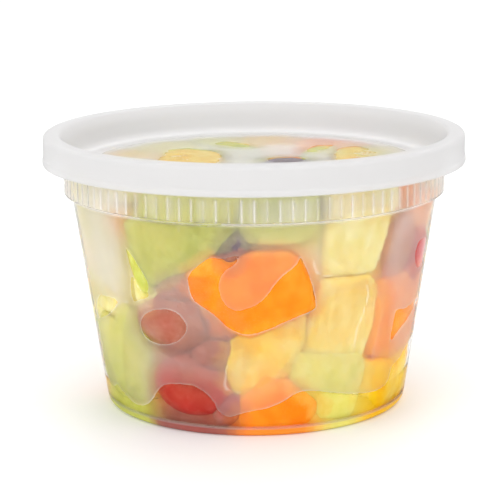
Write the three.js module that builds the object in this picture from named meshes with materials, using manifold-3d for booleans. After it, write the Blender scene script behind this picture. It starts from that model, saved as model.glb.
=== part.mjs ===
// A fruit cup: cut melon, pineapple and grapes in a round translucent deli cup with its press-on lid.
// Millimetres, +Z up, origin at the centre of the foot. The front of the fruit faces -Y.
// Places on the round wall are an azimuth in degrees, 0 at the front and positive to the right
// (towards +X), and a height.
import * as THREE from 'three';
import { mergeVertices } from 'three/addons/utils/BufferGeometryUtils.js';
import Module from 'manifold-3d';

const wasm = await Module();
wasm.setup();

// ---------------------------------------------------------------- driving dimensions

const SIDES = 56; // flat sides of every turned shape

// Cup
const WALL = 0.6;
const TAPER_RADIUS = 42.15; // where the straight wall would meet the floor
const TAPER = 0.1502; // radius gained for each millimetre of height
const CORNER = 2.0; // outer radius of the bottom corner
const FOOT_WIDTH = 2.0; // flat ring that the cup stands on
const BASE_LIFT = 0.9; // the base inside the foot stands this far off the table
const LEDGE_HEIGHT = 59.6; // the wall steps out here, so that stacked cups come apart
const BAND_RADIUS = 53.3; // outside of the upright band above the ledge
const BAND_TOP = 71.6;
const RIM_RADIUS = 57.3;
const RIM_TOP = 75.05;
const RIM_LIP = 72.2; // bottom of the rolled rim

// Ribs inside the band
const RIB_COUNT = 100;
const RIB_WIDTH = 0.5;
const RIB_DEPTH = 0.45;
const RIB_TOP = 66.0;

// Lid
const LID_RADIUS = 59.0;
const LID_TOP = 76.2;
const LID_WALL = 0.8;
const SKIRT_BOTTOM = 68.1;
const RECESS_RADIUS = 54.3; // inner edge of the rim ring
const PANEL_RADIUS = 49.8;
const PANEL_TOP = 67.9;

// Fruit
const CLEARANCE = 0.3; // between the fruit and the plastic
const FLOOR_TOP = BASE_LIFT + WALL;
const FRUIT_TOP = PANEL_TOP - LID_WALL - CLEARANCE;
const OVERSHOOT = 3; // pressed pieces reach past the wall and are trimmed to its curve
const CORE_RADIUS = 30;
const CORE_BOTTOM = 12;
const CORE_TOP = 62.8;
const BEVELS = { honeydew: 1.8, cantaloupe: 1.8, pineapple: 2.5 }; // softened edges of cut pieces

// Pieces pressed against the wall, as seen from outside: outline corners as [azimuth, height],
// counter-clockwise, how deep the piece is, and how far its face stands off the wall.
const WALL_PIECES = [
  { fruit: 'cantaloupe', depth: 24, gap: 0,
    outline: [[-9, 29.8], [-1.5, 29.6], [18.6, 36.5], [12.5, 52.7], [-9.5, 49.5], [-20.9, 44.8]] },
  { fruit: 'honeydew', depth: 24, gap: 0,
    outline: [[-36.5, 41.2], [-16.8, 48], [-6, 55], [-4.5, 66], [-38, 66], [-44, 55]] },
  { fruit: 'honeydew', depth: 18, gap: 4,
    outline: [[-2, 54.6], [15, 53.8], [20, 57], [19.5, 66], [-3, 66]] },
  { fruit: 'pineapple', depth: 22, gap: 0.3,
    outline: [[23.5, 43.4], [43, 43.2], [46.5, 53], [47.5, 66], [21.5, 66], [20.8, 56]] },
  { fruit: 'pineapple', depth: 24, gap: 0.3,
    outline: [[17.2, 24], [41.5, 20.8], [44, 37], [37, 41.8], [20.4, 41.5], [20, 36]] },
  { fruit: 'honeydew', depth: 24, gap: 0,
    outline: [[22.5, 2.5], [40, 3.5], [42, 14], [38, 19.6], [15, 21.6], [13.5, 14.5], [22.5, 9]] },
  { fruit: 'pineapple', depth: 20, gap: 0.4,
    outline: [[-10.5, 13.2], [-3.5, 11], [11, 17.6], [16, 26], [15.8, 34], [-2, 28.2], [-9, 28.2]] },
  { fruit: 'cantaloupe', depth: 20, gap: 0,
    outline: [[-7, 2], [18.5, 2], [21, 8.6], [11.5, 14.4], [4, 15.2], [-5.6, 9.6]] },
  { fruit: 'pineapple', depth: 18, gap: 1.4,
    outline: [[-76, 39], [-58, 35.5], [-45.5, 36], [-44.5, 42], [-52, 57], [-71, 60]] },
  { fruit: 'pineapple', depth: 15, gap: 2.5,
    outline: [[-74, 30], [-61, 28], [-59, 33.6], [-74, 37]] },
  { fruit: 'honeydew', depth: 24, gap: 0.2,
    outline: [[-78, 3], [-46, 3], [-42.5, 19], [-47, 31], [-57, 32.6], [-60, 26], [-78, 27]] },
  { fruit: 'cantaloupe', depth: 18, gap: 4.5,
    outline: [[-78, 62], [-56, 59], [-47, 57.5], [-48, 66], [-78, 66]] },
  { fruit: 'cantaloupe', depth: 22, gap: 0.4,
    outline: [[47, 21], [58, 15.5], [76, 17], [79, 37], [63, 39.5], [47.5, 39]] },
  { fruit: 'pineapple', depth: 24, gap: 0,
    outline: [[44.5, 2.5], [77, 2.5], [79, 14.5], [60, 13.6], [46, 17]] },
  { fruit: 'cantaloupe', depth: 18, gap: 1.6,
    outline: [[60, 60.5], [80, 60], [80, 66], [52, 66]] },
];

// Whole grapes against the wall: place of the middle, half its length and thickness, how far
// the long axis leans from level, and how far the skin is pressed into the wall.
const WALL_GRAPES = [
  { azimuth: -26.5, height: 33.6, length: 14.2, thick: 10.6, lean: 24, press: 0.9 },
  { azimuth: -24.5, height: 13.4, length: 12.8, thick: 10.4, lean: 4, press: 1.0 },
  { azimuth: 60, height: 49.6, length: 12.4, thick: 9.8, lean: -35, press: 0.4 },
  { azimuth: -6.5, height: 54.6, length: 9.5, thick: 7.5, lean: 70, press: -8.5 },
];

// The far side and flanks, in upright columns: one letter a piece, from the bottom up.
const KINDS = { H: 'honeydew', C: 'cantaloupe', P: 'pineapple', G: 'grape' };
const FAR_COLUMNS = ['CHP', 'PGCH', 'HPC', 'CHGP', 'GPH', 'PCH', 'HCGP', 'CPH'];
const FAR_START = 82;
const FAR_END = 279;
const FAR_BOTTOM = 2.5;
const FAR_TOP = 65.5;
const FAR_DEPTH = 22;
const FAR_GAP = 2.4; // the most that a piece stands off the wall
const FAR_SHRINK = 0.94; // leaves a narrow gap between neighbours
const JOINT_WANDER = 6; // degrees that the joint between two columns wanders
const CUT_WANDER = 3; // millimetres that the cut between two pieces lies off its even height
const CUT_SLOPE = 5; // and the most that it rises or falls to either side
const FAR_GRAPE = { length: 11.5, thick: 9, steepest: 50, press: 0.6 };

// Pieces under the lid, by their outline on the level, counter-clockwise from above.
const LID_PIECES = [
  { fruit: 'pineapple', depth: 17, gap: 0,
    outline: [[-27, -12], [-11, -14], [-9.5, 2], [-12, 15], [-25, 14]] },
  { fruit: 'cantaloupe', depth: 15, gap: 1.2, outline: [[-10, -33], [7, -33], [6, -16], [-9, -17]] },
  { fruit: 'honeydew', depth: 16, gap: 0.4, outline: [[12, 10], [21, 12], [22, 30], [7, 31], [9, 18]] },
  { fruit: 'pineapple', depth: 16, gap: 0, outline: [[23, -4], [36, -7], [37, 8], [25, 19.5], [22, 10]] },
  { fruit: 'honeydew', depth: 17, gap: 0.3, outline: [[-16, 20], [1, 17], [4, 34], [-14, 37]] },
  { fruit: 'cantaloupe', depth: 16, gap: 1, outline: [[-8, -1], [4, 3], [6, 15], [-7, 16]] },
  { fruit: 'honeydew', depth: 15, gap: 1.5, outline: [[17, -31], [30, -23], [24, -10], [13, -15]] },
  { fruit: 'cantaloupe', depth: 14, gap: 0.8, outline: [[-33, 17], [-19, 18], [-20, 32], [-31, 27]] },
];
const LID_GRAPE = { x: 9.8, y: -4.5, length: 11.5, thick: 9.2, turn: 12, press: 0.8 };

// Pieces on the floor inside the bottom ring, by their outline from above.
const FLOOR_PIECES = [
  { fruit: 'honeydew', depth: 15, gap: 0.2, outline: [[-17, -16], [-2, -17], [-3, -2], [-16, -1]] },
  { fruit: 'cantaloupe', depth: 15, gap: 0.3, outline: [[0, -16], [15, -15], [16, 0], [0, -2]] },
  { fruit: 'pineapple', depth: 15, gap: 0.2, outline: [[-15, 1], [1, 0], [0, 15], [-13, 16]] },
  { fruit: 'honeydew', depth: 15, gap: 0.5, outline: [[3, 1], [16, 3], [14, 17], [2, 16]] },
];

const COLOURS = {
  cup: 0xe9e6df,
  lid: 0xf0eff0,
  fruit_heap: 0xe6c060,
};

// ---------------------------------------------------------------- small helpers

const radians = THREE.MathUtils.degToRad;

let seed = 20;
function draw(low, high) {
  seed = (seed * 1664525 + 1013904223) % 4294967296;
  return low + (high - low) * seed / 4294967296;
}

// Radius of the cavity at a height.
function innerRadius(height) {
  return height < LEDGE_HEIGHT ? TAPER_RADIUS + TAPER * height - WALL : BAND_RADIUS - WALL - RIB_DEPTH;
}

function onWall(azimuth, height, radius) {
  const turn = radians(azimuth);
  return new THREE.Vector3(radius * Math.sin(turn), -radius * Math.cos(turn), height);
}

// A closed profile of [radius, height] pairs turned about Z: up the outside, down the inside.
function turned(profile, sides = SIDES) {
  const points = profile.map(([radius, height]) => new THREE.Vector2(radius, height));
  return new THREE.LatheGeometry(points, sides).rotateX(Math.PI / 2);
}

// Points of an arc in the profile, from one angle to another.
function arc(centre, radius, from, to, steps) {
  return Array.from({ length: steps + 1 }, (_, i) => {
    const angle = radians(from + (to - from) * i / steps);
    return [centre[0] + radius * Math.cos(angle), centre[1] + radius * Math.sin(angle)];
  });
}

// A closed body from rings of points, all counter-clockwise from outside, the first outermost.
function loft(rings) {
  const count = rings[0].length;
  const first = rings[0].reduce((sum, p) => sum.add(p), new THREE.Vector3()).divideScalar(count);
  const last = rings.at(-1).reduce((sum, p) => sum.add(p), new THREE.Vector3()).divideScalar(count);
  const positions = [...rings.flat(), first, last].flatMap((p) => p.toArray());
  const front = rings.length * count;
  const back = front + 1;
  const index = [];
  for (let i = 0; i < count; i++) {
    const next = (i + 1) % count;
    index.push(front, i, next);
    for (let ring = 0; ring < rings.length - 1; ring++) {
      const a = ring * count + i;
      const b = ring * count + next;
      index.push(a, a + count, b, b, a + count, b + count);
    }
    const floor = (rings.length - 1) * count;
    index.push(back, floor + next, floor + i);
  }
  const geometry = new THREE.BufferGeometry();
  geometry.setAttribute('position', new THREE.Float32BufferAttribute(positions, 3));
  geometry.setIndex(index);
  return geometry;
}

function toSolid(geometry) {
  const bare = geometry.clone();
  bare.deleteAttribute('normal');
  bare.deleteAttribute('uv');
  const merged = mergeVertices(bare, 1e-4);
  const corners = Array.from(merged.index.array);
  const triangles = [];
  for (let i = 0; i < corners.length; i += 3) {
    const [a, b, c] = corners.slice(i, i + 3);
    if (a !== b && b !== c && c !== a) triangles.push(a, b, c);
  }
  return new wasm.Manifold(new wasm.Mesh({
    numProp: 3,
    vertProperties: new Float32Array(merged.attributes.position.array),
    triVerts: new Uint32Array(triangles),
  }));
}

// The largest body of a solid: hollows that the join has sealed are filled, loose scraps dropped.
function mainBody(solid) {
  return solid.decompose().reduce((best, part) => (part.volume() > best.volume() ? part : best));
}

function toGeometry(solid) {
  const mesh = solid.getMesh();
  const geometry = new THREE.BufferGeometry();
  geometry.setAttribute('position', new THREE.BufferAttribute(mesh.vertProperties, 3));
  geometry.setIndex(new THREE.BufferAttribute(mesh.triVerts, 1));
  geometry.computeVertexNormals();
  return geometry;
}

function plastic(colour) {
  return new THREE.MeshStandardMaterial({ color: colour, roughness: 0.45, metalness: 0 });
}

function named(name, solid, material) {
  const mesh = new THREE.Mesh(toGeometry(solid), material);
  mesh.name = name;
  return mesh;
}

// ---------------------------------------------------------------- cup

function cupProfile() {
  const lean = Math.hypot(1, TAPER);
  const cornerX = TAPER_RADIUS + TAPER * CORNER - CORNER * lean;
  const cornerEnd = -THREE.MathUtils.radToDeg(Math.atan(TAPER));
  const footInner = cornerX - FOOT_WIDTH;
  const ledgeOuter = TAPER_RADIUS + TAPER * LEDGE_HEIGHT;
  return [
    [0, BASE_LIFT],
    [footInner - 0.8, BASE_LIFT],
    [footInner, 0],
    ...arc([cornerX, CORNER], CORNER, -90, cornerEnd, 3),
    [ledgeOuter - 0.1, LEDGE_HEIGHT - 0.5],
    [BAND_RADIUS, LEDGE_HEIGHT + 0.3],
    [BAND_RADIUS, BAND_TOP],
    [55.2, 74.25],
    [RIM_RADIUS - 0.7, 74.25],
    [RIM_RADIUS - 0.7, RIM_LIP],
    [RIM_RADIUS, RIM_LIP],
    [RIM_RADIUS, RIM_TOP - 0.4],
    [RIM_RADIUS - 0.4, RIM_TOP],
    [55.3, RIM_TOP],
    [53.8, 74.3],
    [BAND_RADIUS - WALL, BAND_TOP + 0.4],
    [BAND_RADIUS - WALL, LEDGE_HEIGHT + 0.8],
    [ledgeOuter - WALL, LEDGE_HEIGHT + 0.1],
    ...arc([cornerX, CORNER], CORNER - WALL, cornerEnd, -90, 2),
    [footInner - 0.4, WALL],
    [footInner - 1.2, FLOOR_TOP],
    [0, FLOOR_TOP],
  ];
}

function rib(azimuth, bottom) {
  const reach = RIB_DEPTH + 0.2; // rooted in the band
  const radius = BAND_RADIUS - WALL - RIB_DEPTH + reach / 2;
  const height = RIB_TOP - bottom;
  const box = new THREE.BoxGeometry(RIB_WIDTH, reach, height);
  const middle = onWall(azimuth, bottom + height / 2, radius);
  box.rotateZ(radians(azimuth));
  box.translate(middle.x, middle.y, middle.z);
  return toSolid(box);
}

function makeCup() {
  const shell = toSolid(turned(cupProfile()));
  const step = 360 / RIB_COUNT;
  const ribs = Array.from({ length: RIB_COUNT }, (_, i) => rib(i * step, LEDGE_HEIGHT + 0.4));
  return named('cup', mainBody(wasm.Manifold.union([shell, ...ribs])), plastic(COLOURS.cup));
}

// ---------------------------------------------------------------- lid

function lidProfile() {
  const under = LID_TOP - LID_WALL;
  const skirtInner = LID_RADIUS - LID_WALL - 0.2;
  return [
    [skirtInner, SKIRT_BOTTOM],
    [LID_RADIUS - 0.3, SKIRT_BOTTOM],
    [LID_RADIUS, SKIRT_BOTTOM + 0.4],
    [LID_RADIUS, SKIRT_BOTTOM + 1.2],
    [LID_RADIUS - 0.25, SKIRT_BOTTOM + 1.6],
    ...arc([LID_RADIUS - 1.45, LID_TOP - 1.2], 1.2, 0, 90, 2),
    [RECESS_RADIUS + 0.7, LID_TOP],
    [RECESS_RADIUS, LID_TOP - 0.5],
    [52.1, 73.2],
    [51.0, 69],
    [PANEL_RADIUS, PANEL_TOP],
    [0, PANEL_TOP],
    [0, PANEL_TOP - LID_WALL],
    [PANEL_RADIUS + 0.8, PANEL_TOP - LID_WALL],
    [51.7, 68.5],
    [52.35, 71.5],
    [53.2, 74.4],
    [54.7, under],
    [skirtInner - 0.3, under],
    [skirtInner, under - 0.4],
    [skirtInner, 70.4],
    [skirtInner - 0.35, 69.6],
    [skirtInner, SKIRT_BOTTOM],
  ];
}

// ---------------------------------------------------------------- fruit

// The cavity, less the clearance.
function cavity() {
  const ledgeInner = innerRadius(LEDGE_HEIGHT - 0.1) - CLEARANCE;
  return toSolid(turned([
    [0, FLOOR_TOP + CLEARANCE],
    [innerRadius(0) - 1.8, FLOOR_TOP + CLEARANCE],
    [innerRadius(0) - 0.4, FLOOR_TOP + 1.4],
    [ledgeInner, LEDGE_HEIGHT - 0.6],
    [ledgeInner, LEDGE_HEIGHT],
    [innerRadius(LEDGE_HEIGHT) - CLEARANCE, LEDGE_HEIGHT + 1.6],
    [innerRadius(LEDGE_HEIGHT) - CLEARANCE, FRUIT_TOP - 0.8],
    [PANEL_RADIUS, FRUIT_TOP],
    [0, FRUIT_TOP],
  ]));
}

function core() {
  return toSolid(turned([
    [0, CORE_BOTTOM],
    [CORE_RADIUS - 8, CORE_BOTTOM],
    [CORE_RADIUS - 2, CORE_BOTTOM + 6],
    [CORE_RADIUS, CORE_TOP - 5],
    [CORE_RADIUS - 4, CORE_TOP],
    [0, CORE_TOP],
  ], 16));
}

// A cut piece: its outline on the wall or the level, carried inwards and narrowed, edges softened.
function cutPiece(fruit, outline, inwards, depth) {
  const bevel = BEVELS[fruit];
  const middle = outline.reduce((sum, p) => sum.add(p), new THREE.Vector3()).divideScalar(outline.length);
  const ring = (scale, sink) => outline.map((p) => p.clone().sub(middle).multiplyScalar(scale)
    .add(middle).addScaledVector(inwards, sink));
  return toSolid(loft([ring(0.9, 0), ring(1, bevel), ring(0.94, depth - bevel), ring(0.78, depth)]));
}

function wallPiece({ fruit, outline, depth, gap }) {
  const pressed = gap < 0.5;
  const start = pressed ? OVERSHOOT : -gap;
  const azimuth = outline.reduce((sum, [a]) => sum + a, 0) / outline.length;
  const points = outline.map(([a, height]) => onWall(a, height, innerRadius(height) + start));
  return cutPiece(fruit, points, onWall(azimuth, 0, -1), depth + Math.max(start, 0));
}

function levelPiece({ fruit, outline, depth, gap }, level, up) {
  const start = level + (up ? gap : -gap);
  const points = outline.map(([x, y]) => new THREE.Vector3(x, y, start));
  if (up) points.reverse();
  return cutPiece(fruit, points, new THREE.Vector3(0, 0, up ? 1 : -1), depth);
}

function grape(middle, length, thick, turnLevel, lean) {
  const body = new THREE.SphereGeometry(1, 12, 6).rotateZ(Math.PI / 2).scale(length, thick, thick);
  body.rotateY(-radians(lean)).rotateZ(radians(turnLevel));
  body.translate(middle.x, middle.y, middle.z);
  return toSolid(body);
}

function wallGrape({ azimuth, height, length, thick, lean, press }) {
  const middle = onWall(azimuth, height, innerRadius(height) + press - thick);
  return grape(middle, length, thick, azimuth, lean);
}

// Uneven upright joints between the columns: where each one starts and ends.
function farJoints() {
  const step = (FAR_END - FAR_START) / FAR_COLUMNS.length;
  return Array.from({ length: FAR_COLUMNS.length + 1 }, (_, i) => {
    const wander = i > 0 && i < FAR_COLUMNS.length ? JOINT_WANDER : 0;
    const middle = FAR_START + i * step;
    return [middle + draw(-wander, wander), middle + draw(-wander, wander)];
  });
}

// The pieces of one column, parted by sloping cuts at uneven heights.
function farColumn(letters, left, right) {
  const along = ([low, high], height) => [
    low + (high - low) * (height - FAR_BOTTOM) / (FAR_TOP - FAR_BOTTOM), height];
  const storey = (FAR_TOP - FAR_BOTTOM) / letters.length;
  const cuts = Array.from({ length: letters.length + 1 }, (_, i) => {
    const inside = i > 0 && i < letters.length ? 1 : 0;
    const middle = FAR_BOTTOM + i * storey + inside * draw(-CUT_WANDER, CUT_WANDER);
    const slope = inside * draw(-CUT_SLOPE, CUT_SLOPE);
    return [middle - slope, middle + slope];
  });
  return Array.from(letters, (letter, i) => {
    const fruit = KINDS[letter];
    const low = cuts[i];
    const high = cuts[i + 1];
    const corners = [along(left, low[0]), along(right, low[1]), along(right, high[1]), along(left, high[0])];
    const azimuth = corners.reduce((sum, c) => sum + c[0], 0) / corners.length;
    const height = corners.reduce((sum, c) => sum + c[1], 0) / corners.length;
    const gap = draw(0, FAR_GAP);
    if (fruit === 'grape') {
      const { length, thick, steepest, press } = FAR_GRAPE;
      return wallGrape({ azimuth, height, length, thick, lean: draw(-steepest, steepest), press });
    }
    const outline = corners.map(([a, h]) => [
      azimuth + (a - azimuth) * FAR_SHRINK + draw(-1, 1), height + (h - height) * FAR_SHRINK]);
    return wallPiece({ fruit, outline, depth: FAR_DEPTH, gap });
  });
}

function makeFruit() {
  const pieces = [core()];
  pieces.push(...WALL_PIECES.map(wallPiece));
  pieces.push(...WALL_GRAPES.map(wallGrape));
  const joints = farJoints();
  FAR_COLUMNS.forEach((letters, i) => pieces.push(...farColumn(letters, joints[i], joints[i + 1])));
  pieces.push(...LID_PIECES.map((piece) => levelPiece(piece, FRUIT_TOP, false)));
  pieces.push(...FLOOR_PIECES.map((piece) => levelPiece(piece, FLOOR_TOP + CLEARANCE, true)));
  const { x, y, length, thick, turn, press } = LID_GRAPE;
  pieces.push(grape(new THREE.Vector3(x, y, FRUIT_TOP + press - thick), length, thick, turn, 0));
  const heap = wasm.Manifold.union(pieces).intersect(cavity());
  const material = new THREE.MeshStandardMaterial({ color: COLOURS.fruit_heap, roughness: 0.5 });
  return named('fruit_heap', mainBody(heap), material);
}

// ---------------------------------------------------------------- the object

const fruitCup = new THREE.Group();
fruitCup.add(makeCup());
fruitCup.add(named('lid', toSolid(turned(lidProfile())), plastic(COLOURS.lid)));
fruitCup.add(makeFruit());

export default fruitCup;
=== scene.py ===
"""The looks of a fruit cup: cut fruit in a little juice, in a translucent deli cup with a press-on lid.

Shapes are worked out in millimetres and made into meshes in metres. Places on the round wall are
an azimuth in degrees, 0 at the front and positive to the right, and a height.
"""
import math

import bpy
import numpy as np
from mathutils import Matrix, Vector
from mathutils.bvhtree import BVHTree
from mathutils.kdtree import KDTree


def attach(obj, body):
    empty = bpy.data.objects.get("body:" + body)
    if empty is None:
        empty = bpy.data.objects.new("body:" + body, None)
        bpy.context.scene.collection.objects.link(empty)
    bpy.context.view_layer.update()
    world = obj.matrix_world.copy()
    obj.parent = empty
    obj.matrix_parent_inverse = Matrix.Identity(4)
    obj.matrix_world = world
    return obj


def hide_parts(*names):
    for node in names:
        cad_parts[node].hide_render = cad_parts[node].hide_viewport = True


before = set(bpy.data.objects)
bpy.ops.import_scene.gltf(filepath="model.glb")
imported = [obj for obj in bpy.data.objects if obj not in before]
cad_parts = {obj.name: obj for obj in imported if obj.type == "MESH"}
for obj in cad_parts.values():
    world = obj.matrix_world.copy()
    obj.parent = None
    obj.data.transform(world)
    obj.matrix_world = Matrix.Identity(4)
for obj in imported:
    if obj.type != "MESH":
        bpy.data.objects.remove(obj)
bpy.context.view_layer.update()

# ------------------------------------------------------------------ driving dimensions, millimetres

MM = 0.001

# Cup
WALL = 0.6
TAPER_RADIUS = 42.15  # where the straight wall would meet the floor
TAPER = 0.1502  # radius gained for each millimetre of height
CORNER = 2.0
BASE_LIFT = 0.9
FOOT_INNER = 38.43
FOOT_MARK = 4.2  # the mesh is fine up to here, so that the marks at the foot stay near it
LEDGE_HEIGHT = 59.6
BAND_RADIUS = 53.3
BAND_TOP = 71.6
RIM_RADIUS = 57.3
RIM_TOP = 75.05
RIM_LIP = 72.2

# Ribs inside the band
RIB_COUNT = 100
RIB_DEPTH = 0.45
RIB_BOTTOM = 60.4
RIB_TOP = 66.0
RIB_TIP = 0.16  # degrees to either side
RIB_ROOT = 0.42

# Lid
LID_RADIUS = 59.0
LID_TOP = 76.2
LID_WALL = 0.8
SKIRT_BOTTOM = 68.1
RECESS_RADIUS = 54.3
PANEL_RADIUS = 49.8
PANEL_TOP = 67.9
PANEL_UNDER = PANEL_TOP - LID_WALL
LID_SEGMENTS = 300  # steps of the mesh around the lid

# Fruit
FLOOR_TOP = BASE_LIFT + WALL
TOUCH = 0.03  # what is left between fruit and plastic where they touch
CLEARANCE = 0.3
FRUIT_TOP = PANEL_UNDER - TOUCH
CORE_TOP = 62
CORE_GAPS = (0.5, 1.5, 3.8)  # how far the fruit behind the pieces lies from the wall
CORE_GAP_HEIGHTS = (2, 8, 16)
CORE_RIPPLE = 0.4

# ------------------------------------------------------------------ where each piece lies


def chunk(fruit, depth, gap, tone, swell, outline, **more):
    """A cut piece: its depth, how far its face stands off, and how much wider it grows behind.

    tone picks the flesh: 0 is the plain colour of the kind and 1 its stronger shade, and a pair
    gives those at its bottom and top. dark mixes in the colour of the darkest grapes,
    which is also painted shade on pieces and grapes that lie in shadow.
    """
    return dict(fruit=fruit, depth=depth, gap=gap, tone=tone, swell=swell, outline=outline, **more)


# Pieces against the wall, close to those of the solids, with the outlines of their faces as
# (azimuth, height), counter-clockwise from outside.
WALL_PIECES = [
    chunk("cantaloupe", 24, 0, 0.8, 0.6,
          [(-21.8, 44.9), (-20.6, 38.1), (-15.6, 35.4), (-10.2, 30.4), (-1.5, 28.1), (13.5, 33.3),
           (19.4, 35.6), (17, 42.2), (13.4, 48.8), (11.4, 50.6), (8, 51.5), (-1.7, 51.4), (-9.6, 50),
           (-12.6, 50.6)], dome=0.15, rounding=1),
    chunk("honeydew", 24, 0, 0.7, 1.0,
          [(-36.3, 40.4), (-18, 47.6), (-8.5, 54.5), (-5.5, 66), (-35, 66), (-37, 60), (-44.5, 57),
           (-44, 50), (-39.5, 42)], dark=0.08),
    chunk("honeydew", 6, 0, 0.55, 0.3,
          [(-44.4, 50.6), (-43.6, 46.5), (-42.8, 43.6), (-42, 41), (-39.8, 38.2), (-36, 38.4),
           (-35.9, 41.6), (-37, 43.8), (-38.7, 45.8), (-41.5, 49.4)], dome=0.2),
    chunk("honeydew", 18, 1.0, (0.35, 0.9), 1.5,
          [(-3.6, 54.2), (15, 53.8), (19, 57), (18.5, 66), (-3, 66)], dark=0.06),
    chunk("pineapple", 22, 0.8, 0.2, 1.2,
          [(24.5, 44), (43, 43.2), (48, 53), (49.5, 66), (25, 66), (24, 54)]),
    chunk("pineapple", 24, 0.7, (0.45, 0.8), 1.2,
          [(17.2, 22.5), (42.5, 19), (46, 30), (46.5, 38), (41, 42.2), (23, 42.2), (21.5, 36)]),
    chunk("honeydew", 24, 0.3, 0.15, 1.5,
          [(22.5, 0.8), (41, 0.8), (44, 15), (40, 20.2), (15, 22.6), (13, 15), (22.5, 9)]),
    chunk("pineapple", 20, 0.6, (0.95, 0.8), 1.2,
          [(-10.3, 13.6), (-3.9, 11.4), (11.6, 17), (17, 26), (16.6, 34), (-1.5, 28.4), (-8.2, 28.6)]),
    chunk("cantaloupe", 20, 0, 0.6, 2.5,
          [(-5.5, 0.8), (20.5, 0.8), (22.5, 8.6), (11.5, 14.4), (4, 15.2), (-4.6, 9.6)]),
    chunk("pineapple", 18, 4.5, -0.1, 1.5,
          [(-92, 38), (-60, 35.2), (-50.4, 35), (-44.5, 36), (-43.8, 44), (-45.5, 52), (-50, 57.5),
           (-71, 60), (-92, 60)]),
    chunk("pineapple", 15, 0.8, 0.15, 1.5,
          [(-92, 28), (-62, 28.5), (-58.5, 33.8), (-74, 37), (-92, 38)]),
    chunk("pineapple", 8, 0.6, 0.15, 0.8,
          [(-44.8, 43), (-45.4, 36), (-43.8, 34), (-36, 37.2), (-35.2, 40)]),
    chunk("honeydew", 24, 0.2, (0.75, 0.4), 1.0,
          [(-92, 0.8), (-44, 0.8), (-44.5, 19), (-48, 31), (-57, 32.6), (-60, 26), (-92, 27)],
          dome=2.2, dark=0.1),
    chunk("cantaloupe", 10, 3.5, 0.2, 0.8,
          [(-53, 54), (-48, 54), (-46.5, 56), (-46.5, 58.5), (-53, 58.5)]),
    chunk("pineapple", 14, 5, -0.1, 1.0,
          [(-92, 61.5), (-47, 61.5), (-47, 66), (-92, 66)]),
    chunk("cantaloupe", 22, 0.45, 0.3, 2.0,
          [(49.5, 20), (60, 16.5), (92, 16.5), (92, 37), (63, 39.5), (49, 39)], dome=0.6),
    chunk("pineapple", 24, 0, 1.0, 2.5,
          [(43.5, 0.8), (92, 0.8), (92, 18), (60, 15.5), (46, 17)]),
    chunk("cantaloupe", 18, 5.5, 0, 1.5,
          [(54, 61), (92, 60.5), (92, 66), (50, 66)]),
    chunk("cantaloupe", 12, 0.8, 0.0, 1.0,
          [(67, 52), (92, 49), (92, 59.5), (64, 59.5)]),
]

# Whole grapes against the wall: middle, half length and thickness, lean from level, how far the
# skin is pressed into the wall, tone from mauve to clear red, and how much of the dark grape colour
# is mixed in, partly as painted shade. Below 0 is paler.
GRAPE_FIELDS = ("azimuth", "height", "length", "thick", "lean", "press", "tone", "dark")
WALL_GRAPES = [dict(zip(GRAPE_FIELDS, row)) for row in (
    (-29, 32.6, 15.2, 11.5, 18, 1.1, 0.0, 0.0),
    (-17, 35.5, 13.5, 9, -48, -0.5, 0.05, 0.0),
    (-26, 41.3, 9, 6.5, 14, 0.2, 0.0, 0.1),
    (-25.2, 13, 14.4, 11.6, 4, 1.0, (1.15, 0.2), 0.0),
    (-15, 24, 11, 8.5, 60, -0.9, 0.25, 0.12),
    (-10.5, 7, 8, 5.5, 65, -0.3, 0.6, 0.3),
    (-28, 4.6, 9, 3.6, 0, -1.6, 0.2, 0.35),
    (59.5, 49, 13, 10, 68, -0.6, 0.1, -0.45),
    (71, 44.5, 11, 9.5, 75, 1.5, 1.3, 0.0),
    # this grape lies in shade between the pieces, and its dark colour is painted shade
    (-7, 52.5, 5.4, 4.2, 70, 0.2, 0.0, 1.0),
)]

# The far side and flanks, in upright columns: one letter a piece, from the bottom up.
KINDS = {"H": "honeydew", "C": "cantaloupe", "P": "pineapple", "G": "grape"}
FAR_COLUMNS = ["CHP", "PGCH", "HPC", "CHGP", "GPH", "PCH", "HCGP", "CPH"]
FAR_START = 82
FAR_END = 279
FAR_BOTTOM = 2.5
FAR_TOP = 65.5
FAR_DEPTH = 22
FAR_GAP = 2.4
FAR_SHRINK = 0.94
JOINT_WANDER = 6
CUT_WANDER = 3
CUT_SLOPE = 5
FAR_GRAPE = dict(length=11.5, thick=9, press=0.6)
FAR_GRAPE_STEEPEST = 50

# Pieces under the lid, by their outline on the level, counter-clockwise from above.
LID_PIECES = [
    chunk("pineapple", 17, 0, 0.9, 1.5,
          [(-27, -12), (-11, -14), (-9.8, 4), (-9.8, 17), (-19, 22), (-26, 20)]),
    chunk("cantaloupe", 15, 2.5, 0.4, 1.5,
          [(-10, -33), (7, -33), (6, -16), (-9, -17)]),
    chunk("honeydew", 16, 0, 0.8, 4,
          [(14.7, 13), (18, 15), (23.5, 26), (18.5, 26)]),
    chunk("pineapple", 16, 0, 0.8, 1.5,
          [(23, -4), (36, -7), (36.5, 8), (31.7, 22.6), (28, 24), (23.5, 17.7)]),
    chunk("honeydew", 17, 0, 0.8, 5,
          [(-10.5, 30), (-4.5, 24.5), (-1, 25), (-3, 29), (-8, 33)]),
    chunk("honeydew", 16, 3.5, 0.3, 1.5,
          [(-8, -1), (4, 3), (6, 15), (-7, 16)]),
    chunk("honeydew", 15, 1.5, 0.4, 1.5,
          [(17, -31), (30, -23), (24, -10), (13, -15)]),
    chunk("pineapple", 14, 1.2, 0.5, 1.5,
          [(-35, 19), (-26, 24), (-24, 34), (-33, 30)]),
    chunk("cantaloupe", 14, 2.5, 0.3, 1.5,
          [(33, 26), (42, 16), (44, 22), (37, 33)]),
]
# the grape under the lid takes the whole dark grape colour, partly as painted shade
LID_GRAPE = dict(length=12, thick=9.2, turn=5, lean=0, tone=0.0, dark=1.0)
LID_GRAPE_PLACE = (8.6, 1.5)
LID_GRAPE_PRESS = 0.5

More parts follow.
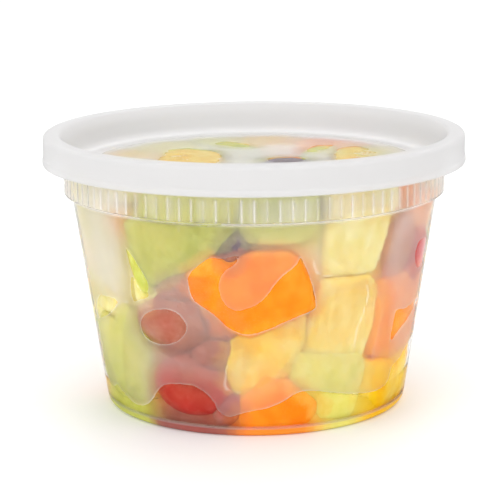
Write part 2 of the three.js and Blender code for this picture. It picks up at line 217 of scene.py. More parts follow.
# Pieces on the floor inside the bottom ring, by their outline from above.
FLOOR_PIECES = [
    chunk("honeydew", 15, 0.2, 0.4, 1.5,
          [(-17, -16), (-2, -17), (-3, -2), (-16, -1)]),
    chunk("cantaloupe", 15, 0.3, 0.4, 1.5,
          [(0, -16), (15, -15), (16, 0), (0, -2)]),
    chunk("pineapple", 15, 0.2, 0.4, 1.5,
          [(-15, 1), (1, 0), (0, 15), (-13, 16)]),
    chunk("honeydew", 15, 0.5, 0.4, 1.5,
          [(3, 1), (16, 3), (14, 17), (2, 16)]),
]

# The edge of the juice at the front, where it is drawn up the wall.
JUICE_EDGE = [
    (-62, 8), (-56, 6), (-51.6, 4.7), (-46.7, 4.9), (-41.9, 6.8), (-37.9, 10.6), (-35.4, 12.6),
    (-31, 13.7), (-22.7, 14.2), (-18.7, 12.7), (-15.3, 10.1), (-13.2, 6.5), (-9.6, 5.4), (-5.6, 6.6),
    (-1.5, 7.5), (4.1, 8.1), (9.8, 10), (14.3, 12.3), (19, 12.6), (23.9, 11.8), (31.9, 10.3),
    (40.2, 9.1), (48, 8.3), (52.9, 8.5), (56.5, 9.3),
]
JUICE_EDGE_LEFT = [(-100, 8)]
JUICE_EDGE_RIGHT = [(100, 12)]
# Where juice fills the gap between fruit and wall and makes the plastic clear: outlines of
# (azimuth, height). The first is the juice at the bottom.
WET = [
    [(-100, 12), (-84, 12), (-70, 10.5), *JUICE_EDGE,
     (57.9, 10.8), (57.5, 12.6), (59.5, 14.2), (64.5, 15), (68.6, 17.4), (84, 20), (100, 15),
     (100, -10), (-100, -10)],
    [(-44.4, 50.8), (-43.3, 46.5), (-42.5, 43.8), (-41.6, 41.2), (-39.5, 38.8), (-36.5, 38.8),
     (-36, 41.5), (-37.3, 43.5), (-39, 45.5), (-41.7, 49)],
    [(-21.6, 45.3), (-14.6, 50), (-12.4, 50.6), (-9.6, 50), (-1.7, 52.4), (3.3, 53), (8.4, 52.6),
     (12.7, 51.4), (15, 49), (18.3, 42), (20, 36.4), (19, 35.2), (13.1, 33.8), (-1.5, 28.6),
     (-8.5, 30.6), (-11.6, 33.2), (-14.7, 35.6), (-20.2, 38.1), (-21.2, 41.8)],
    [(-42.3, 28.9), (-40.2, 31.9), (-36.3, 33.9), (-31.6, 35), (-27.4, 34.9), (-24.1, 33.1),
     (-22.8, 30.6), (-24.1, 28), (-27.4, 25.9), (-32, 24.6), (-36.6, 24.6), (-40.7, 25.9)],
    [(68, 49), (75, 47.6), (76.5, 43.6), (73, 39.8), (67.6, 40.2), (64, 44.2), (64.4, 47.6)],
    [(55.4, 31.1), (61.9, 29.7), (68.5, 30.1), (80.8, 30.9), (77.4, 29.3), (70.4, 27.5), (64.9, 25.4),
     (59.4, 24.1), (55.3, 21.4), (54.2, 22.8), (54.7, 27.3)],
    [(-67.4, 33.8), (-58.7, 34.7), (-51, 34.8), (-55.5, 31.6), (-61.5, 28.5), (-76.6, 24.5)],
    [(-43.2, 43.4), (-44.6, 37.8), (-43.9, 35.2), (-40.8, 36.4), (-36.6, 37.4), (-36.2, 38.6),
     (-39.6, 38.6), (-41.8, 41)],
]
# Air caught inside those places.
DRY = [
    [(-77, 15.2), (-69.4, 15.4), (-65, 12.5), (-62.8, 9.2), (-66, 6.9), (-71.7, 7.4), (-78.4, 9.8)],
    [(-4.8, 49.4), (-8.8, 47.2), (-10.5, 45.6), (-11.6, 42.3), (-10.5, 39), (-8.7, 36.7), (-5.5, 35.7),
     (-2.8, 36.5), (1.3, 37.9), (4.3, 40.8), (6.6, 43.8), (9.8, 46.3), (12.8, 48.2), (13.7, 49.9),
     (14, 55), (3.3, 56), (-4, 55)],
]
# Where a thinner film leaves it half clear.
DAMP = [
    [(-120, 22), (-80, 23.5), (-67, 26), (-55, 31), (-46.5, 35.4), (-45.2, 34.6), (-49.3, 30.1),
     (-52.3, 25), (-54, 20), (-55.2, 15.3), (-56.4, 9.8), (-55, 5), (-120, 5)],
    [(-7.4, 29.5), (-8.6, 26.8), (-9.7, 21.3), (-10.6, 18.1), (-10.5, 15.2), (-8.1, 13.2), (-1.4, 13.3),
     (4.1, 15), (7.4, 18.1), (11.6, 22), (15.3, 26.3), (15.5, 31.7)],
    [(20.4, 62), (21.1, 45.5), (22.4, 42.7), (25.8, 41.3), (29.9, 41.1), (34.1, 41.7), (43.7, 41.8),
     (47, 47.4), (48, 62)],
    [(20.4, 33.1), (24.7, 40), (36.8, 39.8), (46, 36.6), (46.7, 27.6), (44.6, 20.2), (43.5, 16.5),
     (40.9, 19.4), (38.1, 20.7), (27.8, 22.5), (18.2, 24.3), (16.4, 27)],
    [(38, 7), (41.5, 16.5), (48, 19), (56, 17), (62, 13), (57, 6)],
    [(-40, 27), (-36, 36.5), (-33.7, 40.6), (-23.9, 43.9), (-20.5, 39.4), (-13.3, 33.4), (-8.9, 28.7),
     (-12, 20), (-30, 20)],
]
# Painted highlights drawn as haze: bright lines of juice along the lower edges of pieces, and the glint
# of a drop under the ledge.
HIGHLIGHT_LINES = [
    [(18.3, 48.9), (18.5, 47.3), (19.4, 45.6), (22.4, 44.5), (26.3, 44.7), (29.8, 45.3)],
    [(38.4, 40.1), (39.6, 37.5), (38.4, 32.9), (36.1, 28.3), (35.6, 23.5)],
    [(-9, 20.8), (-10.2, 19.5), (-10.1, 17.5), (-11, 14.8), (-10.3, 13.6), (-8.1, 13), (-5.6, 12.8)],
    [(-23.1, 58.6), (-23.2, 57)],
    [(-63.4, 27.8), (-50.4, 34.5), (-46, 35)],
]
# Fine bubbles beside the upper grape.
FROTH = [(-36, 36.5), (-33.7, 40.6), (-23.9, 43.9), (-20.5, 39.4), (-13.3, 33.4), (-8.9, 28.7),
         (-13.6, 28.0), (-21.7, 27.4), (-22.6, 33), (-28, 36)]
FROTH_FADE = 2.5  # millimetres over which the froth and the mist fade at their edges
MIST_FADE = 6
# Fog on the inside of the wall: the haze that it adds, and its outline.
MIST = [
    (0.16, [(-120, 36), (-60, 35.5), (-46, 36), (-44.5, 52), (-46, 62), (-120, 62)]),
    (0.18, [(47, 62), (48, 40), (53, 34), (56, 20), (62, 16), (120, 20), (120, 62)]),
    (0.13, [(-40, 34), (-36, 38), (-33.7, 43), (-23.9, 45), (-19.5, 41), (-12.3, 35), (-9, 29),
            (-22, 29)]),
]
FRONT_REACH = 80  # degrees to either side that these outlines cover
FRONT_FADE = 8
WALL_DEGREE = 0.803  # millimetres along the wall for a degree, at middle height
FILM = 0.35  # elsewhere a gap narrower than this fills with juice
THIN_FILM = 0.5  # and one wider by up to this is half clear
FILM_WANDER = 0.12  # how uneven the film's edge is, in humps of the next size
FILM_HUMPS = 2.5
WIDEST_GAP = 8
JUICE_LEVEL = 7.5
FAR_JUICE_HEIGHT = 9.5  # of the wet part at the far side
FAR_JUICE_WAVES = ((2.2, 5, 0), (1.5, 11, 1), (0.8, 23, 0))  # height, number around the cup, start

# ------------------------------------------------------------------ small helpers

seed = 20


def draw(low, high):
    """The next seeded random number, the same row as in the solids."""
    global seed
    seed = (seed * 1664525 + 1013904223) % 4294967296
    return low + (high - low) * seed / 4294967296


look_rng = np.random.default_rng(7)


def draw_look(low, high):
    """A seeded random number for looks alone, apart from the row that the solids use."""
    return float(look_rng.uniform(low, high))


def ramp(values, start, width):
    """0 up to start, then rising to 1 over width. With a negative width it rises downwards."""
    return np.clip((values - start) / width, 0, 1)


def inner_radius(height):
    """Inside radius of the cup, for a height or an array of heights."""
    height = np.asarray(height, float)
    tapered = TAPER_RADIUS + TAPER * height - WALL
    corner = CORNER - WALL
    rise = np.clip(height - WALL, 0, corner)
    rounding = corner - np.sqrt(corner**2 - (corner - rise) ** 2)
    band = BAND_RADIUS - WALL
    step = np.clip((height - LEDGE_HEIGHT - 0.15) / 0.65, 0, 1)
    return (tapered - rounding) * (1 - step) + band * step


def fruit_radius(height):
    """How far out fruit may reach: the wall, or the ribs."""
    ribbed = np.asarray(height, float) > LEDGE_HEIGHT - 0.2
    return np.where(ribbed, BAND_RADIUS - WALL - RIB_DEPTH, inner_radius(height)) - TOUCH


def on_wall(azimuth, height, radius):
    turn = np.radians(azimuth)
    return np.stack([radius * np.sin(turn), -radius * np.cos(turn), height + 0 * turn], axis=-1)


def wall_place(points):
    """Azimuth in degrees and height of points."""
    return np.degrees(np.arctan2(points[:, 0], -points[:, 1])), points[:, 2]


def rounded(corners):
    """A closed outline with its corners cut twice, so that it reads as a curve."""
    points = np.array(corners, float)
    for _ in range(2):
        following = np.roll(points, -1, axis=0)
        points = np.stack([points * 0.75 + following * 0.25, points * 0.25 + following * 0.75], axis=1)
        points = points.reshape(-1, 2)
    return points


def straight_distance(places, start, end):
    along = end - start
    share = np.clip((places - start) @ along / max(along @ along, 1e-9), 0, 1)
    return np.linalg.norm(places - start - share[:, None] * along, axis=1)


def outline_distance(azimuth, height, corners):
    """Distance in millimetres from places on the wall to a closed outline, negative inside it."""
    places = np.column_stack([azimuth * WALL_DEGREE, height])
    points = rounded(corners) * (WALL_DEGREE, 1)
    nearest = np.full(len(places), 1e9)
    inside = np.zeros(len(places), bool)
    for start, end in zip(points, np.roll(points, -1, axis=0)):
        nearest = np.minimum(nearest, straight_distance(places, start, end))
        crosses = (start[1] > places[:, 1]) != (end[1] > places[:, 1])
        run, rise = end - start
        if abs(rise) < 1e-9:
            rise = 1e-9
        reach = start[0] + (places[:, 1] - start[1]) / rise * run
        inside ^= crosses & (places[:, 0] < reach)
    return np.where(inside, -nearest, nearest)


def line_distance(azimuth, height, corners):
    """Distance in millimetres from places on the wall to an open line."""
    places = np.column_stack([azimuth * WALL_DEGREE, height])
    points = np.array(corners) * (WALL_DEGREE, 1)
    straights = zip(points, points[1:])
    return np.min([straight_distance(places, start, end) for start, end in straights], axis=0)


def ripple(points, size, which):
    """Smooth seeded waves of about one unit, with humps of the given size."""
    rng = np.random.default_rng(which)
    total = np.zeros(len(points))
    for _ in range(7):
        direction = rng.normal(size=3)
        direction *= 2 * math.pi / (size * rng.uniform(1.4, 3.2) * np.linalg.norm(direction))
        total += np.sin(points @ direction + rng.uniform(0, 2 * math.pi))
    return total / 2.6


def make_object(name, vertices, faces, material, smooth=True):
    mesh = bpy.data.meshes.new(name)
    mesh.from_pydata((np.asarray(vertices) * MM).tolist(), [], [tuple(f) for f in faces])
    mesh.polygons.foreach_set("use_smooth", [smooth] * len(mesh.polygons))
    mesh.materials.append(material)
    mesh.update()
    piece = bpy.data.objects.new(name, mesh)
    bpy.context.collection.objects.link(piece)
    return piece


# ------------------------------------------------------------------ turned shapes

def filleted(corners):
    """A profile of (radius, height, rounding) corners with its corners rounded."""
    points = []
    for i, (radius, height, rounding) in enumerate(corners):
        here = np.array([radius, height])
        if rounding == 0:
            points.append(here)
            continue
        before = np.array(corners[i - 1][:2]) - here
        after = np.array(corners[(i + 1) % len(corners)][:2]) - here
        reach = [min(rounding, 0.48 * np.linalg.norm(arm)) for arm in (before, after)]
        start = here + before / np.linalg.norm(before) * reach[0]
        end = here + after / np.linalg.norm(after) * reach[1]
        for t in np.linspace(0, 1, 3 if rounding < 0.55 else 5):
            points.append((1 - t) ** 2 * start + 2 * t * (1 - t) * here + t**2 * end)
    return np.array(points)


def divided(profile, longest):
    """The profile with its long straights cut into steps; longest(middle) gives the step there."""
    points = []
    for start, end in zip(profile, np.roll(profile, -1, axis=0)):
        length = np.linalg.norm(end - start)
        count = max(1, math.ceil(length / longest((start + end) / 2)))
        points += [start + (end - start) * i / count for i in range(count)]
    return np.array(points)


def turned(profile, azimuths, closed=True):
    """A profile of (radius, height) points turned about Z: up the outside, down the inside.

    A profile that isn't closed runs from axis to axis, for a round body.
    """
    turn = np.radians(azimuths)
    count = len(turn)
    vertices, rows = [], []
    for radius, height in profile:
        if radius < 1e-6:
            rows.append([len(vertices)] * count)
            vertices.append((0, 0, height))
        else:
            rows.append(list(range(len(vertices), len(vertices) + count)))
            vertices += [(radius * math.sin(t), -radius * math.cos(t), height) for t in turn]
    faces = []
    for low, high in zip(rows, rows[1:] + rows[:1] if closed else rows[1:]):
        for i in range(count):
            j = (i + 1) % count
            ring = [low[i], low[j], high[j], high[i]]
            face = [v for k, v in enumerate(ring) if v != ring[k - 1]]
            if len(face) > 2:
                faces.append(face)
    return np.array(vertices), faces


def even_turn(segments):
    return np.arange(segments) * 360 / segments


def rib_turn():
    """Azimuths around the cup that give each rib its edges and leave two steps between ribs."""
    cell = np.array([-RIB_ROOT, -RIB_TIP, RIB_TIP, RIB_ROOT, 1.3, 2.3])
    return (np.arange(RIB_COUNT)[:, None] * 360 / RIB_COUNT + cell).ravel()


def rib_offset(vertices):
    """Degrees from the middle of the nearest rib."""
    cell = 360 / RIB_COUNT
    azimuth, _ = wall_place(vertices)
    return np.abs((azimuth + cell / 2) % cell - cell / 2)


def raise_ribs(vertices):
    """Draws the band's inner face inwards at each rib."""
    radius = np.hypot(vertices[:, 0], vertices[:, 1])
    height = vertices[:, 2]
    inner = np.abs(radius - (BAND_RADIUS - WALL)) < 0.15
    ribbed = inner & (height > RIB_BOTTOM - 0.01) & (height < RIB_TOP + 0.01)
    share = np.clip((RIB_ROOT - rib_offset(vertices)) / (RIB_ROOT - RIB_TIP), 0, 1) * ribbed
    vertices[:, :2] *= (1 - RIB_DEPTH * share / np.maximum(radius, 1e-6))[:, None]
    return vertices


def cup_shell():
    ledge = TAPER_RADIUS + TAPER * LEDGE_HEIGHT
    floor_corner = TAPER_RADIUS + TAPER * WALL - WALL
    corners = [
        (0, BASE_LIFT, 0),
        (FOOT_INNER - 0.8, BASE_LIFT, 0.4),
        (FOOT_INNER, 0, 0.4),
        (TAPER_RADIUS, 0, CORNER),
        (TAPER_RADIUS + TAPER * FOOT_MARK, FOOT_MARK, 0),
        (ledge, LEDGE_HEIGHT - 0.3, 0.4),
        (BAND_RADIUS, LEDGE_HEIGHT + 0.3, 0.6),
        (BAND_RADIUS, BAND_TOP, 1.5),
        (55.2, 74.25, 1.0),
        (RIM_RADIUS - 0.7, 74.25, 0.3),
        (RIM_RADIUS - 0.7, RIM_LIP, 0.3),
        (RIM_RADIUS, RIM_LIP, 0.3),
        (RIM_RADIUS, RIM_TOP, 0.6),
        (55.3, RIM_TOP, 0.6),
        (53.8, 74.3, 0.8),
        (BAND_RADIUS - WALL, BAND_TOP + 0.4, 1.0),
        (BAND_RADIUS - WALL, RIB_TOP + 0.3, 0),
        (BAND_RADIUS - WALL, RIB_TOP, 0),
        (BAND_RADIUS - WALL, RIB_BOTTOM, 0),
        (BAND_RADIUS - WALL, LEDGE_HEIGHT + 0.6, 0.2),
        (ledge - WALL, LEDGE_HEIGHT + 0.1, 0.4),
        (floor_corner, WALL, CORNER - WALL),
        (FOOT_INNER - 0.4, WALL, 0.3),
        (FOOT_INNER - 1.2, FLOOR_TOP, 0.3),
        (0, FLOOR_TOP, 0),
    ]

    def step(middle):
        radius, height = middle
        if height < FLOOR_TOP + 0.1:
            return 6
        if radius > inner_radius(height) + WALL / 2:
            return 0.75 if height < FOOT_MARK else 6
        return 1.08

    vertices, faces = turned(divided(filleted(corners), step), rib_turn())
    return raise_ribs(vertices), faces


def lid_shell():
    skirt = LID_RADIUS - LID_WALL - 0.2
    under = LID_TOP - LID_WALL
    corners = [
        (skirt, SKIRT_BOTTOM, 0.25),
        (LID_RADIUS, SKIRT_BOTTOM, 0.4),
        (LID_RADIUS, SKIRT_BOTTOM + 1.4, 0.5),
        (LID_RADIUS - 0.25, SKIRT_BOTTOM + 1.8, 0.5),
        (LID_RADIUS - 0.25, LID_TOP, 1.4),
        (RECESS_RADIUS - 0.1, LID_TOP, 0.8),
        (52.1, 73.2, 1.6),
        (51.0, 69, 0.8),
        (PANEL_RADIUS, PANEL_TOP, 1.2),
        (0, PANEL_TOP, 0),
        (0, PANEL_UNDER, 0),
        (PANEL_RADIUS + 0.8, PANEL_UNDER, 1.0),
        (51.7, 68.5, 0.8),
        (52.35, 71.5, 1.0),
        (53.2, 74.4, 0.8),
        (54.7, under, 0.6),
        (skirt, under, 0.7),
        (skirt, 70.4, 0.5),
        (skirt - 0.35, 69.6, 0.4),
    ]
    return turned(divided(filleted(corners), lambda middle: 1.2), even_turn(LID_SEGMENTS))


# ------------------------------------------------------------------ cut fruit

EDGE_POINTS = 5  # points along each side of an outline
FAR_SWELL = 1.5  # how much wider the far pieces grow behind their faces
DOME = 0.9  # how far the edge of a face falls back from the wall
FLAT_FROM = 0.5  # a face that stands off the wall by this much is flat, not bent to the wall
FRONT_GRID = 0.8  # mesh size of the pieces in view
FAR_GRID = 1.15
ROUNDING = {"honeydew": 2, "cantaloupe": 2, "pineapple": 3}  # how often the edges are smoothed
RELIEF = {"honeydew": 0.12, "cantaloupe": 0.14, "pineapple": 0.2}
RELIEF_SIZE = 5
FIBRE_RELIEF = 0.12  # the fine ridges of pineapple, drawn out along its grain
FIBRE_SIZE = 0.9
FIBRE_STRETCH = 0.85
STEEPEST_GRAIN = 0.6  # radians
FACE_STEPS = (0.25, 0.5, 0.75, 0.9, 1.0)  # rings over a face, from the middle to the edge
# Rings behind a face: share of the swell, and millimetres or share of the depth inwards.
SHOULDER = ((0.0, 0.0), (0.35, 0.4), (0.75, 1.4), (1.0, 3.2))
BACK = ((0.9, 0.6), (0.3, 0.93), (-1.5, 1.0))
GRAPE_SEGMENTS = 56
GRAPE_ROWS = 34
GRAPE_EGG = 0.06  # how much wider one end is
GRAPE_UNEVEN = 0.12
SCAR_WIDTH = 0.16  # of the stem scar, as shares of the grape's size
SCAR_DEPTH = 0.12

# The flesh of each kind, from its plain to its stronger colour (linear light).
FLESH = {
    "honeydew": ((0.80, 0.73, 0.19), (0.50, 0.54, 0.08)),
    "cantaloupe": ((0.97, 0.35, 0.03), (0.95, 0.22, 0.001)),
    "pineapple": ((0.78, 0.71, 0.27), (0.86, 0.5, 0.006)),
    "grape": ((0.38, 0.145, 0.09), (0.46, 0.032, 0.024)),
}
# the colour of the darkest grapes, also mixed in as painted shade
DARK_GRAPE_AND_SHADE = (0.13, 0.085, 0.115)
DEEPEST_TONE = 1.7
TONE_DRIFT = ((14, 300, 0.14), (4, 700, 0.1))  # size of the patches, seed and strength
BLEED = 0.3  # share of its neighbour's colour painted onto a piece where they touch, for light passing between them
BLEED_REACH = 3.0
BLEED_STEP = 7  # every seventh vertex is enough to find what lies near
NEAREST = 10


def dense(outline):
    """The outline with points along each side."""
    corners = np.array(outline, float)
    following = np.roll(corners, -1, axis=0)
    return np.concatenate([
        a + (b - a) * np.arange(EDGE_POINTS)[:, None] / EDGE_POINTS for a, b in zip(corners, following)
    ])


def loft(rings):
    """A closed body from rings of points, counter-clockwise from outside, the first outermost."""
    count = len(rings[0])
    vertices = np.concatenate(list(rings) + [rings[0].mean(axis=0)[None], rings[-1].mean(axis=0)[None]])
    front = len(rings) * count
    faces = []
    for i in range(count):
        n = (i + 1) % count
        faces.append([front, i, n])
        for ring in range(len(rings) - 1):
            a = ring * count
            faces.append([a + i, a + count + i, a + count + n, a + n])
        floor = front - count
        faces.append([front + 1, floor + n, floor + i])
    return vertices, faces


def smoothed(vertices, faces, times):
    """Vertices moved towards the middle of their neighbours."""
    edges = np.array([(a, b) for f in faces for a, b in zip(f, f[1:] + f[:1])])
    share = np.zeros(len(vertices))
    np.add.at(share, edges[:, 0], 1)
    np.add.at(share, edges[:, 1], 1)
    for _ in range(times):
        total = np.zeros_like(vertices)
        np.add.at(total, edges[:, 0], vertices[edges[:, 1]])
        np.add.at(total, edges[:, 1], vertices[edges[:, 0]])
        vertices = vertices * 0.4 + total / share[:, None] * 0.6
    return vertices


def gridded(vertices, faces, size):
    """The same body in an even mesh of squares of the given size."""
    mesh = bpy.data.meshes.new("scratch")
    mesh.from_pydata(vertices.tolist(), [], faces)
    scratch = bpy.data.objects.new("scratch", mesh)
    bpy.context.collection.objects.link(scratch)
    grid = scratch.modifiers.new("grid", "REMESH")
    grid.mode = "VOXEL"
    grid.voxel_size = size
    done = scratch.evaluated_get(bpy.context.evaluated_depsgraph_get())
    result = done.to_mesh()
    flat = np.empty(len(result.vertices) * 3)
    result.vertices.foreach_get("co", flat)
    new_faces = [tuple(p.vertices) for p in result.polygons]
    done.to_mesh_clear()
    bpy.data.objects.remove(scratch)
    bpy.data.meshes.remove(mesh)
    return flat.reshape(-1, 3), new_faces


def kept_inside(points):
    """Points brought back inside the cup and under the lid."""
    points = points.copy()
    points[:, 2] = np.clip(points[:, 2], FLOOR_TOP + TOUCH, FRUIT_TOP)
    radius = np.hypot(points[:, 0], points[:, 1])
    points[:, :2] *= np.minimum(1, fruit_radius(points[:, 2]) / np.maximum(radius, 1e-6))[:, None]
    return points


piece_count = 0


def finished_piece(rings, fruit, grain, grid, rounding=None):
    """The cut piece between rings: even mesh, soft edges and relief."""
    global piece_count
    piece_count += 1
    vertices, faces = gridded(*loft(rings), grid)
    vertices = smoothed(vertices, faces, rounding or ROUNDING[fruit])
    middle = vertices.mean(axis=0)
    outward = vertices - middle
    outward /= np.linalg.norm(outward, axis=1)[:, None]
    relief = ripple(vertices, RELIEF_SIZE, piece_count) * RELIEF[fruit]
    if fruit == "pineapple":
        along = vertices - np.outer((vertices - middle) @ grain, grain) * FIBRE_STRETCH
        relief += ripple(along, FIBRE_SIZE, 100 + piece_count) * FIBRE_RELIEF
    return kept_inside(vertices + outward * relief[:, None]), faces


def spread(ring, centre, distance):
    """The ring drawn outwards from its centre by a distance."""
    arms = ring - centre
    return ring + arms / np.linalg.norm(arms, axis=1)[:, None] * distance


def body_rings(face, inwards, depth, swell):
    """Rings from the edge of a face inwards: a soft shoulder, the full girth and the back."""
    centre = face.mean(axis=0)
    rings = []
    for share, sink in SHOULDER:
        rings.append(spread(face, centre, swell * share) + inwards * sink * min(1, 0.3 + swell / 2))
    for share, sink in BACK:
        rings.append(spread(face, centre, swell * share) + inwards * depth * sink)
    return rings


def wall_rings(outline, depth, gap, swell, dome):
    """Rings over the face on the wall, from the middle out, then inwards to the back.

    dome is how far the edge of the face falls back from the wall.
    """
    around = dense(outline)
    middle = np.array(outline, float).mean(axis=0)
    rings = []
    for scale in FACE_STEPS:
        places = middle + (around - middle) * scale
        stand_off = gap + dome * max(0, scale - 0.4) ** 2 / 0.36
        rings.append(on_wall(places[:, 0], places[:, 1], fruit_radius(places[:, 1]) - stand_off))
    if gap >= FLAT_FROM:
        flat = rings[-1]
        centre = flat.mean(axis=0)
        rings = [centre + (flat - centre) * scale for scale in (0.3, 0.6, 1.0)]
    inwards = on_wall(np.array(middle[0]), np.array(0.0), -1.0)
    return rings[:-1] + body_rings(rings[-1], inwards, depth, swell), inwards


def level_rings(outline, depth, level, up, swell):
    around = dense(outline[::-1] if up else outline)
    face = np.column_stack([around, np.full(len(around), level)])
    centre = face.mean(axis=0)
    inwards = np.array([0, 0, 1.0 if up else -1.0])
    rings = [centre + (face - centre) * scale for scale in (0.25, 0.5, 0.75)]
    return rings + body_rings(face, inwards, depth, swell)


heap = {kind: [] for kind in FLESH}


def add_piece(fruit, vertices, faces, tone, dark=0.0):
    """Keeps a finished piece with its colour at each vertex."""
    plain, strong = (np.array(c) for c in FLESH[fruit])
    drift = sum(ripple(vertices, size, start + piece_count) * share for size, start, share in TONE_DRIFT)
    low, high = tone if isinstance(tone, tuple) else (tone, tone)
    rise = (vertices[:, 2] - vertices[:, 2].min()) / np.ptp(vertices[:, 2])
    mix = np.clip(low + (high - low) * rise + drift, 0, DEEPEST_TONE)[:, None]
    colours = plain * (1 - mix) + strong * mix
    # dark mixes in the dark grape colour, partly as painted shade
    heap[fruit].append((vertices, faces, colours * (1 - dark) + np.array(DARK_GRAPE_AND_SHADE) * dark))


def add_wall_piece(fruit, outline, depth, gap, tone, grid, swell=FAR_SWELL, dome=DOME, rounding=None,
                   dark=0.0):
    rings, inwards = wall_rings(outline, depth, gap, swell, dome)
    side = np.cross(inwards, (0, 0, 1.0))
    lean = draw_look(-STEEPEST_GRAIN, STEEPEST_GRAIN)
    grain = side * math.cos(lean) + np.array([0, 0, 1.0]) * math.sin(lean)
    add_piece(fruit, *finished_piece(rings, fruit, grain, grid, rounding), tone, dark)


def grape_mesh(middle, length, thick, turn, lean):
    """An egg-shaped grape with a small stem scar at one end."""
    height = np.sin(np.linspace(-1, 1, GRAPE_ROWS) * math.pi / 2)
    profile = [(math.sqrt(max(0, 1 - h * h)) * (1 + GRAPE_EGG * h), h) for h in height]
    profile[0], profile[-1] = (0, -1), (0, 1)
    vertices, faces = turned(profile, even_turn(GRAPE_SEGMENTS), closed=False)
    off_axis = np.hypot(vertices[:, 0], vertices[:, 1])
    vertices[:, 2] -= np.exp(-(off_axis / SCAR_WIDTH) ** 2) * (vertices[:, 2] > 0) * SCAR_DEPTH
    vertices = vertices * (thick, thick, length)
    vertices += ripple(vertices, 9, 500 + piece_count)[:, None] * GRAPE_UNEVEN
    place = (Matrix.Rotation(math.radians(turn), 3, "Z") @ Matrix.Rotation(-math.radians(lean), 3, "Y")
             @ Matrix.Rotation(math.pi / 2, 3, "Y"))
    return vertices @ np.array(place.transposed()) + middle, faces


def add_grape(middle, length, thick, turn, lean, tone, dark=0.0):
    global piece_count
    piece_count += 1
    vertices, faces = grape_mesh(np.array(middle), length, thick, turn, lean)
    add_piece("grape", kept_inside(vertices), faces, tone, dark)


def add_wall_grape(azimuth, height, length, thick, lean, press, tone, dark=0.0):
    radius = float(fruit_radius(height)) + press - thick
    add_grape(on_wall(azimuth, height, radius), length, thick, azimuth, lean, tone, dark)


def add_far_pieces():
    """The far side: columns with uneven joints, each parted by sloping cuts."""
    step = (FAR_END - FAR_START) / len(FAR_COLUMNS)
    joints = []
    for i in range(len(FAR_COLUMNS) + 1):
        wander = JOINT_WANDER if 0 < i < len(FAR_COLUMNS) else 0
        middle = FAR_START + i * step
        low = middle + draw(-wander, wander)
        joints.append((low, middle + draw(-wander, wander)))
    for letters, left, right in zip(FAR_COLUMNS, joints, joints[1:]):
        add_far_column(letters, left, right)


def add_far_column(letters, left, right):
    def along(joint, height):
        share = (height - FAR_BOTTOM) / (FAR_TOP - FAR_BOTTOM)
        return joint[0] + (joint[1] - joint[0]) * share, height

    storey = (FAR_TOP - FAR_BOTTOM) / len(letters)
    cuts = []
    for i in range(len(letters) + 1):
        inside = 1 if 0 < i < len(letters) else 0
        middle = FAR_BOTTOM + i * storey
        if inside:
            middle += draw(-CUT_WANDER, CUT_WANDER)
            slope = draw(-CUT_SLOPE, CUT_SLOPE)
        else:
            draw(0, 1)
            draw(0, 1)
            slope = 0
        cuts.append((middle - slope, middle + slope))
    for letter, low, high in zip(letters, cuts, cuts[1:]):
        corners = [along(left, low[0]), along(right, low[1]), along(right, high[1]), along(left, high[0])]
        azimuth = sum(c[0] for c in corners) / 4
        height = sum(c[1] for c in corners) / 4
        gap = draw(0, FAR_GAP)
        tone = draw_look(0, 1)
        if KINDS[letter] == "grape":
            lean = draw(-FAR_GRAPE_STEEPEST, FAR_GRAPE_STEEPEST)
            add_wall_grape(azimuth, height, lean=lean, tone=tone, **FAR_GRAPE)
            continue
        outline = [
            (azimuth + (a - azimuth) * FAR_SHRINK + draw(-1, 1), height + (h - height) * FAR_SHRINK)
            for a, h in corners
        ]
        add_wall_piece(KINDS[letter], outline, FAR_DEPTH, gap, tone, FAR_GRID)


def add_level_piece(fruit, outline, depth, gap, tone, level, up, grid, swell):
    start = level + (gap if up else -gap)
    turn = draw_look(0, math.pi)
    grain = np.array([math.cos(turn), math.sin(turn), 0.0])
    rings = level_rings(outline, depth, start, up, swell)
    add_piece(fruit, *finished_piece(rings, fruit, grain, grid), tone)


def make_heap(materials):
    """All the fruit, one piece of the scene for each kind. Gives its whole surface and colours too."""
    for piece in WALL_PIECES:
        add_wall_piece(grid=FRONT_GRID, **piece)
    for grape in WALL_GRAPES:
        add_wall_grape(**grape)
    add_far_pieces()
    for piece in LID_PIECES:
        add_level_piece(level=FRUIT_TOP, up=False, grid=FAR_GRID, **piece)
    for piece in FLOOR_PIECES:
        add_level_piece(level=FLOOR_TOP + CLEARANCE, up=True, grid=FAR_GRID, **piece)
    add_grape((*LID_GRAPE_PLACE, FRUIT_TOP + LID_GRAPE_PRESS - LID_GRAPE["thick"]), **LID_GRAPE)
    parts = [part for kind in heap for part in heap[kind]]
    sizes = [len(part[0]) for part in parts]
    every_vertex = np.concatenate([part[0] for part in parts])
    plain = np.concatenate([part[2] for part in parts])
    every_colour = bleed(every_vertex, plain, np.repeat(np.arange(len(parts)), sizes))
    objects, every_face, begin = [], [], 0
    for kind, parts in heap.items():
        faces, start = [], 0
        for part_vertices, part_faces, _ in parts:
            faces += [tuple(v + start for v in f) for f in part_faces]
            start += len(part_vertices)
        piece = make_object(kind + "_pieces", every_vertex[begin:begin + start], faces, materials[kind])
        paint(piece, "flesh", every_colour[begin:begin + start])
        objects.append(piece)
        every_face += [tuple(v + begin for v in f) for f in faces]
        begin += start
    return objects, every_vertex, every_face, every_colour


def bleed(vertices, colours, owners):
    """Colours tinged by what lies against them, as light passes from one moist piece to the next."""
    picked = np.arange(0, len(vertices), BLEED_STEP)
    near = KDTree(len(picked))
    for i in picked:
        near.insert(vertices[i], i)
    near.balance()
    tinged = colours.copy()
    for i, vertex in enumerate(vertices):
        for _, other, distance in near.find_n(vertex, NEAREST):
            if owners[other] != owners[i]:
                share = BLEED * math.exp(-(distance / BLEED_REACH) ** 2)
                tinged[i] = colours[i] * (1 - share) + colours[other] * share
                break
    return tinged


def paint(piece, name, colours):
    layer = piece.data.color_attributes.new(name, "FLOAT_COLOR", "POINT")
    layer.data.foreach_set("color", np.column_stack([colours, np.ones(len(colours))]).ravel())


